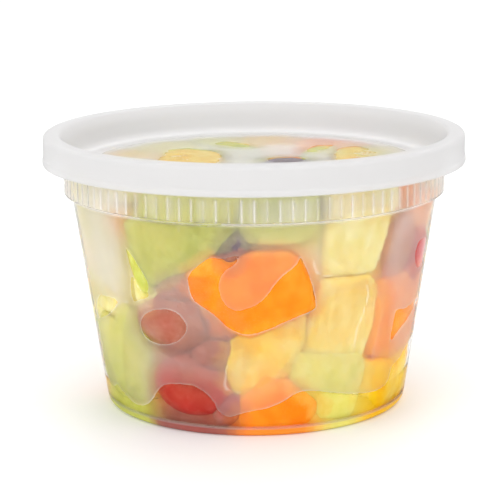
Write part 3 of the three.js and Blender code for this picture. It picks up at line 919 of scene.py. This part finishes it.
def mark(piece, name, values):
    layer = piece.data.attributes.new(name, "FLOAT", "POINT")
    layer.data.foreach_set("value", np.asarray(values, float))


# ------------------------------------------------------------------ juice against the wall

def gap_behind(tree, points):
    """Width of the gap between the plastic and the fruit."""
    found = (tree.find_nearest(point, WIDEST_GAP)[3] for point in map(Vector, points))
    return np.array([distance or WIDEST_GAP for distance in found])


def far_juice_line(azimuth):
    turn = np.radians(azimuth)
    waves = (size * np.sin(turn * count + start) for size, count, start in FAR_JUICE_WAVES)
    return sum(waves, FAR_JUICE_HEIGHT)


def outside_all(azimuth, height, outlines):
    """Distance from places to the nearest of the outlines, negative inside one but not in its air."""
    distance = np.min([outline_distance(azimuth, height, outline) for outline in outlines], axis=0)
    for air in DRY:
        distance = np.maximum(distance, -outline_distance(azimuth, height, air))
    return distance


def uneven_film(points, gap, which):
    """How much too wide each gap is to fill with juice, with an uneven edge."""
    return gap - FILM + FILM_WANDER * ripple(points, FILM_HUMPS, which)


def films(points, gap):
    """For places on the wall, how far outside a clear film and outside a thin film they lie."""
    azimuth, height = wall_place(points)
    uneven = uneven_film(points, gap, 900)
    share = ramp(np.abs(azimuth), FRONT_REACH, FRONT_FADE)
    front = share < 1
    result = []
    far_clear = np.minimum(uneven, height - far_juice_line(azimuth))
    for distance, outlines in ((far_clear, WET), (uneven - THIN_FILM, DAMP)):
        drawn = outside_all(azimuth[front], height[front], outlines)
        distance[front] = drawn * (1 - share[front]) + distance[front] * share[front]
        result.append(distance)
    return result


# ------------------------------------------------------------------ materials

# tints are for plastic with a film of juice behind it and without. outer, for the outer face, and
# wet and dry, for the inner one, each give haze, haze added for each millimetre of gap, and
# roughness. The index of refraction (ior) is less than the real one, for a soft sheen without a
# veil of reflections.
CUP_LOOK = dict(tints=((0.99, 0.99, 0.98), (0.86, 0.84, 0.82)), ior=1.05, outer=(0, 0, 0.1),
                wet=(0, 0.004, 0.03), dry=(0.08, 0.045, 0.9))
LID_LOOK = dict(tints=((0.76, 0.76, 0.76), (0.705, 0.7, 0.7)), ior=1.03, outer=(0.03, 0, 0.2),
                wet=(0, 0.03, 0.1), dry=(0.3, 0.1, 0.7))
JUICE_IOR = 1.03
DAMP_SHARE = 0.6  # how dry a half clear place looks
MOST_HAZE = 0.7
FILM_EDGE_HIGHLIGHT = (0.18, 0.3)  # width and haze of the pale line painted round a film as a highlight
JUICE_LINE_HIGHLIGHT = (0.2, 0.4)  # and of the painted highlight along a line of juice
FROTH_HAZE = 0.12
FROTH_SCALE = 1900.0
PLASTIC_SHADE = (0.95, 0.95, 0.95)  # light that comes through to cast a shadow
JUICE_SHADE = (1.0, 0.98, 0.9)
FLESH_LOOKS = {
    "honeydew": dict(name="honeydew_flesh", speckle=0.3, roughness=0.4, bump_scale=900,
                     bump_depth=0.0002, mottle=0.12),
    "cantaloupe": dict(name="cantaloupe_flesh", speckle=0.15, roughness=0.4, bump_scale=1100,
                       bump_depth=0.0002, mottle=0.08),
    "pineapple": dict(name="pineapple_flesh", speckle=0.5, roughness=0.42, bump_scale=450,
                      bump_depth=0.0003, mottle=0.22, stretch=(1, 1, 0.5)),
    "grape": dict(name="grape_skin", speckle=0.3, roughness=0.3, bump_scale=500,
                  bump_depth=0.00005, mottle=0.1),
    "core": dict(name="core_flesh", speckle=0.1, roughness=0.5, bump_scale=500, bump_depth=0.0003,
                 mottle=0.1),
}
MOTTLE_SCALE = 260
PALER = 0.7  # gamma that lightens the flecks in the flesh


def new_material(name):
    material = bpy.data.materials.new(name)
    material.use_nodes = True
    material.node_tree.nodes.clear()
    return material


def node(tree, kind, settings=None, **inputs):
    """A new node with its settings; an input is a value or the socket that feeds it."""
    made = tree.nodes.new(kind)
    for name, value in (settings or {}).items():
        setattr(made, name, value)
    for name, value in inputs.items():
        key = int(name[1:]) if name[0] == "i" and name[1:].isdigit() else name.replace("_", " ")
        if isinstance(value, bpy.types.NodeSocket):
            tree.links.new(value, made.inputs[key])
        else:
            made.inputs[key].default_value = value
    return made


def math_node(tree, operation, a, b=0.0):
    return node(tree, "ShaderNodeMath", {"operation": operation}, i0=a, i1=b).outputs[0]


def map_range(tree, value, low, high, to_low, to_high, smooth=False):
    settings = {"interpolation_type": "SMOOTHSTEP" if smooth else "LINEAR"}
    return node(tree, "ShaderNodeMapRange", settings, Value=value, From_Min=low, From_Max=high,
                To_Min=to_low, To_Max=to_high).outputs["Result"]


def noise(tree, scale, detail=3.0, stretch=None):
    place = node(tree, "ShaderNodeTexCoord").outputs["Object"]
    if stretch:
        place = node(tree, "ShaderNodeMapping", Vector=place, Scale=stretch).outputs[0]
    return node(tree, "ShaderNodeTexNoise", Vector=place, Scale=scale, Detail=detail).outputs["Fac"]


def mix_colour(tree, factor, a, b, blend="MIX"):
    made = node(tree, "ShaderNodeMix", {"data_type": "RGBA", "blend_type": blend}, i0=factor)
    for socket, value in ((made.inputs[6], a), (made.inputs[7], b)):
        if isinstance(value, bpy.types.NodeSocket):
            tree.links.new(value, socket)
        else:
            socket.default_value = (*value, 1) if len(value) == 3 else value
    return made.outputs[2]


def output(tree, shader):
    node(tree, "ShaderNodeOutputMaterial", Surface=shader)


def output_clear(tree, shader, shade):
    """The output of a clear material, which casts no more of a shadow than its shade."""
    through = node(tree, "ShaderNodeBsdfTransparent", Color=(*shade, 1)).outputs[0]
    shadow = node(tree, "ShaderNodeLightPath").outputs["Is Shadow Ray"]
    output(tree, node(tree, "ShaderNodeMixShader", i0=shadow, i1=shader, i2=through).outputs[0])


def attribute(tree, name):
    return node(tree, "ShaderNodeAttribute", {"attribute_name": name}).outputs["Fac"]


def meniscus_highlight(tree, distance, width, strength):
    """A painted highlight: a thin pale line of haze just outside a film's edge, stronger here and weaker
    there.
    """
    off = math_node(tree, "ABSOLUTE", math_node(tree, "SUBTRACT", distance, width * 0.8))
    line = map_range(tree, off, width * 0.2, width * 1.3, strength, 0, smooth=True)
    return math_node(tree, "MULTIPLY", line, map_range(tree, noise(tree, 60, 1), 0.35, 0.65, 0.25, 1))


def plastic_material(name, tints, ior, outer, wet, dry, details=False):
    """Milky polypropylene that clears where juice fills the gap behind it.

    details adds the cup's fine marks, with their painted highlights, and the painted glow of the fruit's
    colour at its foot.
    """
    material = new_material(name)
    tree = material.node_tree
    gap = attribute(tree, "gap")
    wobble = map_range(tree, noise(tree, 700, 2), 0.3, 0.7, -0.1, 0.1)
    clear = math_node(tree, "ADD", attribute(tree, "clear_film"), wobble)
    damp = math_node(tree, "ADD", attribute(tree, "damp_film"), wobble)
    dryness = map_range(tree, clear, -0.12, 0.12, 0, 1, smooth=True)
    damp_share = map_range(tree, damp, -0.8, 0.8, DAMP_SHARE, 1, smooth=True)
    dryness = math_node(tree, "MULTIPLY", dryness, damp_share)

    def blend(which):
        inside = map_range(tree, dryness, 0, 1, wet[which], dry[which])
        return map_range(tree, attribute(tree, "inside"), 0, 1, outer[which], inside)

    haze = math_node(tree, "ADD", blend(0), math_node(tree, "MULTIPLY", blend(1), gap))
    haze = math_node(tree, "MINIMUM", haze, MOST_HAZE)
    tint = mix_colour(tree, dryness, *tints)
    if details:
        haze = math_node(tree, "ADD", haze, fine_marks(tree, clear, dryness))
        # the painted glow at the foot: the fruit's colour painted onto the plastic for the light that
        # comes through it
        edge = node(tree, "ShaderNodeAttribute", {"attribute_name": "painted_foot_glow"}).outputs["Color"]
        tint = mix_colour(tree, attribute(tree, "edge"), tint, edge)
    haze = math_node(tree, "ADD", haze, attribute(tree, "thick"))
    see_through = math_node(tree, "SUBTRACT", 1.0, haze)
    bump = node(tree, "ShaderNodeBump", Height=noise(tree, 250, 2), Strength=0.05, Distance=0.0004)
    shader = node(tree, "ShaderNodeBsdfPrincipled", Base_Color=tint, Roughness=blend(2), IOR=ior,
                  Transmission_Weight=see_through, Normal=bump.outputs[0])
    output_clear(tree, shader.outputs[0], PLASTIC_SHADE)
    return material


def fine_marks(tree, clear, dryness):
    """Haze of the fine marks inside the cup: painted highlights along the film's edges and lines of
    juice, and mist and froth.
    """
    juice_line_highlights = meniscus_highlight(tree, attribute(tree, "line"), *JUICE_LINE_HIGHLIGHT)
    lines = math_node(tree, "ADD", meniscus_highlight(tree, clear, *FILM_EDGE_HIGHLIGHT), juice_line_highlights)
    mist = math_node(tree, "MULTIPLY", attribute(tree, "mist"), dryness)
    lines = math_node(tree, "ADD", lines, mist)
    place = node(tree, "ShaderNodeTexCoord").outputs["Object"]
    cells = node(tree, "ShaderNodeTexVoronoi", Vector=place, Scale=FROTH_SCALE)
    bubbles = map_range(tree, cells.outputs["Distance"], 0.15, 0.5, FROTH_HAZE, 0)
    bubbles = math_node(tree, "MULTIPLY", bubbles, attribute(tree, "froth"))
    return math_node(tree, "MULTIPLY", math_node(tree, "ADD", lines, bubbles), attribute(tree, "inside"))


def juice_material():
    material = new_material("juice")
    tree = material.node_tree
    shader = node(tree, "ShaderNodeBsdfPrincipled", Base_Color=(1.0, 0.96, 0.8, 1), Roughness=0.03,
                  IOR=JUICE_IOR, Transmission_Weight=1.0)
    output_clear(tree, shader.outputs[0], JUICE_SHADE)
    return material


def flesh_material(name, speckle, roughness, bump_scale, bump_depth, mottle, stretch=None):
    """Moist fruit flesh: the piece's own colour, mottled, with fine paler flecks and relief."""
    material = new_material(name)
    tree = material.node_tree
    flesh = node(tree, "ShaderNodeAttribute", {"attribute_name": "flesh"}).outputs["Color"]
    patches = map_range(tree, noise(tree, MOTTLE_SCALE, 2, stretch), 0.32, 0.68, 1 + mottle, 1 - mottle)
    flesh = node(tree, "ShaderNodeGamma", Color=flesh, Gamma=patches).outputs[0]
    flecks = map_range(tree, noise(tree, bump_scale, 4), 0.35, 0.75, 0, speckle)
    pale = node(tree, "ShaderNodeGamma", Color=flesh, Gamma=PALER).outputs[0]
    colour = mix_colour(tree, flecks, flesh, pale)
    bump = node(tree, "ShaderNodeBump", Height=noise(tree, bump_scale, 4), Strength=0.5,
                Distance=bump_depth)
    shader = node(tree, "ShaderNodeBsdfPrincipled", Base_Color=colour, Roughness=roughness,
                  Normal=bump.outputs[0], IOR=1.2, Subsurface_Weight=0.35,
                  Subsurface_Radius=(1.0, 0.7, 0.35), Subsurface_Scale=0.003)
    output(tree, shader.outputs[0])
    return material


def plain_material(name, colour, roughness):
    material = new_material(name)
    tree = material.node_tree
    shader = node(tree, "ShaderNodeBsdfPrincipled", Base_Color=(*colour, 1), Roughness=roughness)
    output(tree, shader.outputs[0])
    return material


# ------------------------------------------------------------------ plastic, core and juice

WALL_REACH = 1.5  # how far inside the inner wall a point of the cup still belongs to it
MARKED = 90  # degrees to either side where lines and froth are drawn
WHOLLY_CLEAR = -2  # distance to a film's edge that is given to the cup's floor, which is all film
WHOLLY_DRY = 3  # and to the lid outside its panel, which has none
FOOT_GLOW_RAMP = (2.9, -0.7)  # from this height down, the fruit's colour is painted on the foot as a glow of the light that comes through it
FOOT_GLOW_STEPS = 40  # how far that painted glow is spread along the foot
FOOT_GLOW_BRIGHTNESS = 1.15  # how much brighter than the fruit the painted glow is
FOOT_GLOW_MILK = 0.03
ABOVE_FOOT = (0, 0, 1.5)  # where that fruit is looked for
# Haze added where the cup's plastic is thick; at the ribs and the ledge it is partly a painted highlight.
RIB_HAZE_AND_HIGHLIGHT = (0.2, 0.55)  # each rib draws its own between these
STRIPE_HAZE = 0.13  # so do the stripes between ribs, up to this
LEDGE_HAZE_AND_HIGHLIGHT = 0.45
BAND_HAZE = 0.02
RIM_HAZE = 0.25
FOOT_HAZE = 0.85
FOOT_HAZE_RAMP = (2.7, -0.9)
# Haze added to the lid from the outer part of its panel outwards, and the part of its upper face
# that is treated as the dry inner one: the radius where each begins, and over how much it rises.
LID_HAZE = 0.35
LID_HAZE_RAMP = (38, 12)
LID_DRY_RAMP = (44, 6)
CORE_SHADE = 0.9  # the fruit deep between the pieces is in their shade
CORE_BLUR = 10  # how often the core's colours are smoothed
CORE_HEIGHTS = (2.5, 4, 8, 12, 16, 20, 35, 50, 57)
CORE_SEGMENTS = 150
CORE_GRID = 1.6
CORE_HUMPS = 9
CORE_SHOULDER = 60  # its top corner, where it draws in by
CORE_DRAW_IN = 3
JUICE_SEGMENTS = 240
JUICE_FRONT_RAMP = (100, -10)  # degrees to either side that the drawn edge covers
JUICE_OVERLAP = 0.05  # the juice reaches just into the plastic
# Rings of the juice's surface: distance from the wall, and share of the climb at the wall.
JUICE_SURFACE = ((40, 0), (20, 0), (8, 0), (3, 0.05), (1.5, 0.3), (0.5, 0.75), (0, 1.0))
JUICE_WALL = (0.8, 0.55, 0.3, 0.1)  # rings down the wall, as shares of the height
JUICE_FLOOR = (0, 10, 25)  # rings under it, by distance from the wall


def make_cup(tree, places, colours):
    vertices, faces = cup_shell()
    material = plastic_material("cup_plastic", details=True, **CUP_LOOK)
    cup = make_object("cup_shell", vertices, faces, material)
    radius = np.hypot(vertices[:, 0], vertices[:, 1])
    height = np.maximum(vertices[:, 2], FLOOR_TOP)
    wall = inner_radius(height)
    on_side = radius > wall - WALL_REACH
    behind = vertices.copy()
    behind[:, :2] *= np.where(on_side, wall / np.maximum(radius, 1e-6), 1)[:, None]
    behind[:, 2] = np.where(on_side, height, FLOOR_TOP)
    gap = gap_behind(tree, behind)
    clear, damp = films(behind, gap)
    azimuth, _ = wall_place(behind)
    froth = ramp(outline_distance(azimuth, height, FROTH), FROTH_FADE / 2, -FROTH_FADE)
    on_floor = ~on_side & (vertices[:, 2] > FLOOR_TOP - 0.1)
    mark(cup, "gap", gap)
    mark(cup, "clear_film", np.where(on_side, clear, WHOLLY_CLEAR))
    mark(cup, "damp_film", np.where(on_side, damp, WHOLLY_CLEAR))
    mark(cup, "inside", on_floor | (radius < wall + WALL * 0.4) & on_side & (vertices[:, 2] < BAND_TOP))
    mark(cup, "froth", froth * (np.abs(azimuth) < MARKED))
    # distances to the lines of painted highlight
    lines = [line_distance(azimuth, height, line) for line in HIGHLIGHT_LINES]
    mark(cup, "line", np.min(lines, axis=0) + 10 * (np.abs(azimuth) > MARKED))
    mark(cup, "thick", thick_parts(vertices))
    mist = sum(haze * ramp(outline_distance(azimuth, height, outline), MIST_FADE / 2, -MIST_FADE)
               for haze, outline in MIST)
    mark(cup, "mist", mist)
    # Painted glow at the foot: the fruit's colour, made brighter, painted onto the plastic where light
    # from the fruit comes through
    mark(cup, "edge", ramp(vertices[:, 2], *FOOT_GLOW_RAMP) * (radius > FOOT_INNER))
    near = np.array([colours[places.find(v)[1]] for v in vertices + ABOVE_FOOT])
    near = near * FOOT_GLOW_BRIGHTNESS + FOOT_GLOW_MILK
    paint(cup, "painted_foot_glow", np.clip(smoothed(near, faces, FOOT_GLOW_STEPS), 0, 1))
    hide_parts("cup")
    return cup


def thick_parts(vertices):
    """Haze added where the cup's plastic is thick: its ribs, ledge, band, rim and foot, with painted
    highlights in the pale lines at the ribs and ledge.
    """
    radius = np.hypot(vertices[:, 0], vertices[:, 1])
    height = vertices[:, 2]
    off = rib_offset(vertices)
    azimuth, _ = wall_place(vertices)
    rib = np.round(azimuth * RIB_COUNT / 360).astype(int) % RIB_COUNT
    strength = np.random.default_rng(31).uniform(*RIB_HAZE_AND_HIGHLIGHT, RIB_COUNT)[rib]
    # the ribs' pale lines: thicker plastic, and partly painted highlights
    ribs = np.interp(off, (RIB_TIP, RIB_ROOT, RIB_ROOT + 0.1), (1, 0.1, 0)) * strength
    ribs *= (height > RIB_BOTTOM - 0.3) & (height < RIB_TOP + 0.3) & (radius < BAND_RADIUS - WALL / 2)
    # the ledge's pale line, partly a painted highlight
    ledge = ramp(np.abs(height - LEDGE_HEIGHT - 0.1), 0.7, -0.7) * LEDGE_HAZE_AND_HIGHLIGHT
    stripe = np.floor(azimuth * RIB_COUNT / 180).astype(int) % (2 * RIB_COUNT)
    stripes = np.random.default_rng(32).uniform(0, STRIPE_HAZE, 2 * RIB_COUNT)[stripe]
    band = ramp(height, LEDGE_HEIGHT, 2) * (BAND_HAZE + stripes * (height < RIB_TOP))
    rim = ramp(height, BAND_TOP - 1, 2) * RIM_HAZE
    foot = ramp(height, *FOOT_HAZE_RAMP) * (radius > FOOT_INNER) * FOOT_HAZE
    return ribs + ledge + band + rim + foot


def make_lid(tree):
    vertices, faces = lid_shell()
    material = plastic_material("lid_plastic", **LID_LOOK)
    lid = make_object("lid_shell", vertices, faces, material)
    radius = np.hypot(vertices[:, 0], vertices[:, 1])
    on_panel = radius < PANEL_RADIUS + 0.5
    behind = vertices.copy()
    behind[:, 2] = PANEL_UNDER
    gap = gap_behind(tree, behind)
    film = uneven_film(behind, gap, 901)
    mark(lid, "gap", np.where(on_panel, gap, 0))
    mark(lid, "clear_film", np.where(on_panel, film, WHOLLY_DRY))
    mark(lid, "damp_film", np.where(on_panel, film - THIN_FILM, WHOLLY_DRY))
    mark(lid, "thick", ramp(radius, *LID_HAZE_RAMP) * LID_HAZE)
    beneath = vertices[:, 2] < (PANEL_TOP + PANEL_UNDER) / 2
    mark(lid, "inside", np.where(beneath, 1, ramp(radius, *LID_DRY_RAMP)))
    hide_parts("lid")
    return lid


def make_core(colour_tree, colours):
    """The fruit deep between the pieces in view, in the colours of the pieces before it."""
    def reach(height):
        return float(inner_radius(height)) - np.interp(height, CORE_GAP_HEIGHTS, CORE_GAPS)

    bottom = FLOOR_TOP + TOUCH
    corners = [(0, bottom, 0), (reach(bottom), bottom, 0)]
    corners += [(reach(height), height, 0) for height in CORE_HEIGHTS]
    top = reach(CORE_HEIGHTS[-1])
    corners += [(top, CORE_SHOULDER, 2), (top - CORE_DRAW_IN, CORE_TOP, 2), (0, CORE_TOP, 0)]
    profile = divided(filleted(corners), lambda middle: CORE_GRID)
    vertices, faces = turned(profile, even_turn(CORE_SEGMENTS))
    away = vertices / np.maximum(np.linalg.norm(vertices, axis=1), 1)[:, None]
    vertices = vertices + away * (ripple(vertices, CORE_HUMPS, 77) * CORE_RIPPLE)[:, None]
    near = np.array([colours[colour_tree.find(v)[1]] for v in vertices])
    near = smoothed(near, faces, CORE_BLUR) * CORE_SHADE
    vertices = kept_inside(vertices)
    core = make_object("fruit_core", vertices, faces, flesh_material(**FLESH_LOOKS["core"]))
    paint(core, "flesh", near)
    return core


def make_juice():
    """The juice at the bottom: level inside, drawn up where it meets the wall, and round underneath."""
    azimuths = even_turn(JUICE_SEGMENTS)
    around = (azimuths + 180) % 360 - 180
    line = np.array(JUICE_EDGE_LEFT + JUICE_EDGE + JUICE_EDGE_RIGHT)
    front = ramp(np.abs(around), *JUICE_FRONT_RAMP)
    climb = np.interp(around, line[:, 0], line[:, 1]) * front + far_juice_line(around) * (1 - front)
    rows = []
    for inset, lift in JUICE_SURFACE:
        height = JUICE_LEVEL + (climb - JUICE_LEVEL) * lift
        rows.append((inner_radius(height) - inset + (JUICE_OVERLAP if inset == 0 else 0), height))
    top = rows[-1][1]
    for share in JUICE_WALL:
        height = FLOOR_TOP + (top - FLOOR_TOP) * share
        rows.append((inner_radius(height) + JUICE_OVERLAP, height))
    for inset in JUICE_FLOOR:
        height = np.full(len(azimuths), FLOOR_TOP - JUICE_OVERLAP)
        rows.append((inner_radius(FLOOR_TOP + 0.3) - inset + 0 * height, height))
    rings = [on_wall(azimuths, height, radius) for radius, height in rows]
    vertices, faces = loft(rings)
    juice = make_object("juice", vertices, faces, juice_material())
    return juice


# ------------------------------------------------------------------ stage

LIGHTS = [  # name, place in metres, size, power
    ("key", (-0.3, -1.2, 0.45), 0.9, 2.8),
    ("left", (-1.0, -0.6, 0.95), 0.9, 4.8),
    ("right", (1.1, -0.6, 0.85), 0.9, 4.8),
    ("back", (0.2, 1.0, 1.1), 0.9, 5),
    ("top", (0.0, 0.0, 1.4), 1.2, 2),
]
STUDIO_WHITE = 0.95  # how white the room looks to the object; the camera sees it pure white
BACKDROP_WHITE = 1.05
FLOOR_COLOUR = (0.88, 0.88, 0.88)
LIT_PLACE = Vector((0, 0, 0.04))  # the lights point at the middle of the cup


def make_stage():
    bpy.ops.mesh.primitive_plane_add(size=6)
    floor = bpy.context.object
    floor.name = "floor"
    floor.data.materials.append(plain_material("floor_white", FLOOR_COLOUR, 0.7))
    world = bpy.data.worlds.new("studio")
    bpy.context.scene.world = world
    world.use_nodes = True
    tree = world.node_tree
    to_camera = node(tree, "ShaderNodeLightPath").outputs["Is Camera Ray"]
    strength = map_range(tree, to_camera, 0, 1, STUDIO_WHITE, BACKDROP_WHITE)
    background = tree.nodes["Background"]
    background.inputs["Color"].default_value = (1, 1, 1, 1)
    tree.links.new(strength, background.inputs["Strength"])
    for name, place, size, power in LIGHTS:
        light = bpy.data.lights.new(name, "AREA")
        light.size = size
        light.energy = power
        lamp = bpy.data.objects.new(name, light)
        lamp.location = place
        lamp.rotation_euler = (LIT_PLACE - Vector(place)).to_track_quat("-Z", "Y").to_euler()
        bpy.context.collection.objects.link(lamp)


CAMERA_BACK = 533.2  # millimetres in front of the cup's axis
CAMERA_HEIGHT = 159.3
CAMERA_PITCH = 12.43  # degrees down
CAMERA_ROLL = -0.49
FOCAL_LENGTH = 138.8  # on a 36 mm sensor
SHIFT = -0.0096


def make_camera():
    camera = bpy.data.cameras.new("camera")
    camera.lens = FOCAL_LENGTH
    camera.shift_x = SHIFT
    rig = bpy.data.objects.new("camera", camera)
    bpy.context.collection.objects.link(rig)
    tilt = Matrix.Rotation(math.radians(90 - CAMERA_PITCH), 4, "X")
    roll = Matrix.Rotation(math.radians(CAMERA_ROLL), 4, "Z")
    rig.matrix_world = Matrix.Translation((0, -CAMERA_BACK * MM, CAMERA_HEIGHT * MM)) @ tilt @ roll
    bpy.context.scene.camera = rig


# ------------------------------------------------------------------ the whole

def build():
    make_camera()
    make_stage()
    bpy.context.scene.view_settings.view_transform = "Standard"
    materials = {kind: flesh_material(**FLESH_LOOKS[kind]) for kind in FLESH}
    pieces, vertices, faces, colours = make_heap(materials)
    places = KDTree(len(vertices))
    for i, vertex in enumerate(vertices):
        places.insert(vertex, i)
    places.balance()
    pieces.append(make_core(places, colours))
    for piece in pieces:
        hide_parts("fruit_heap")
    tree = BVHTree.FromPolygons(vertices.tolist(), faces)
    pieces += [make_juice(), make_cup(tree, places, colours), make_lid(tree)]
    for piece in pieces:
        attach(piece, "root")


build()
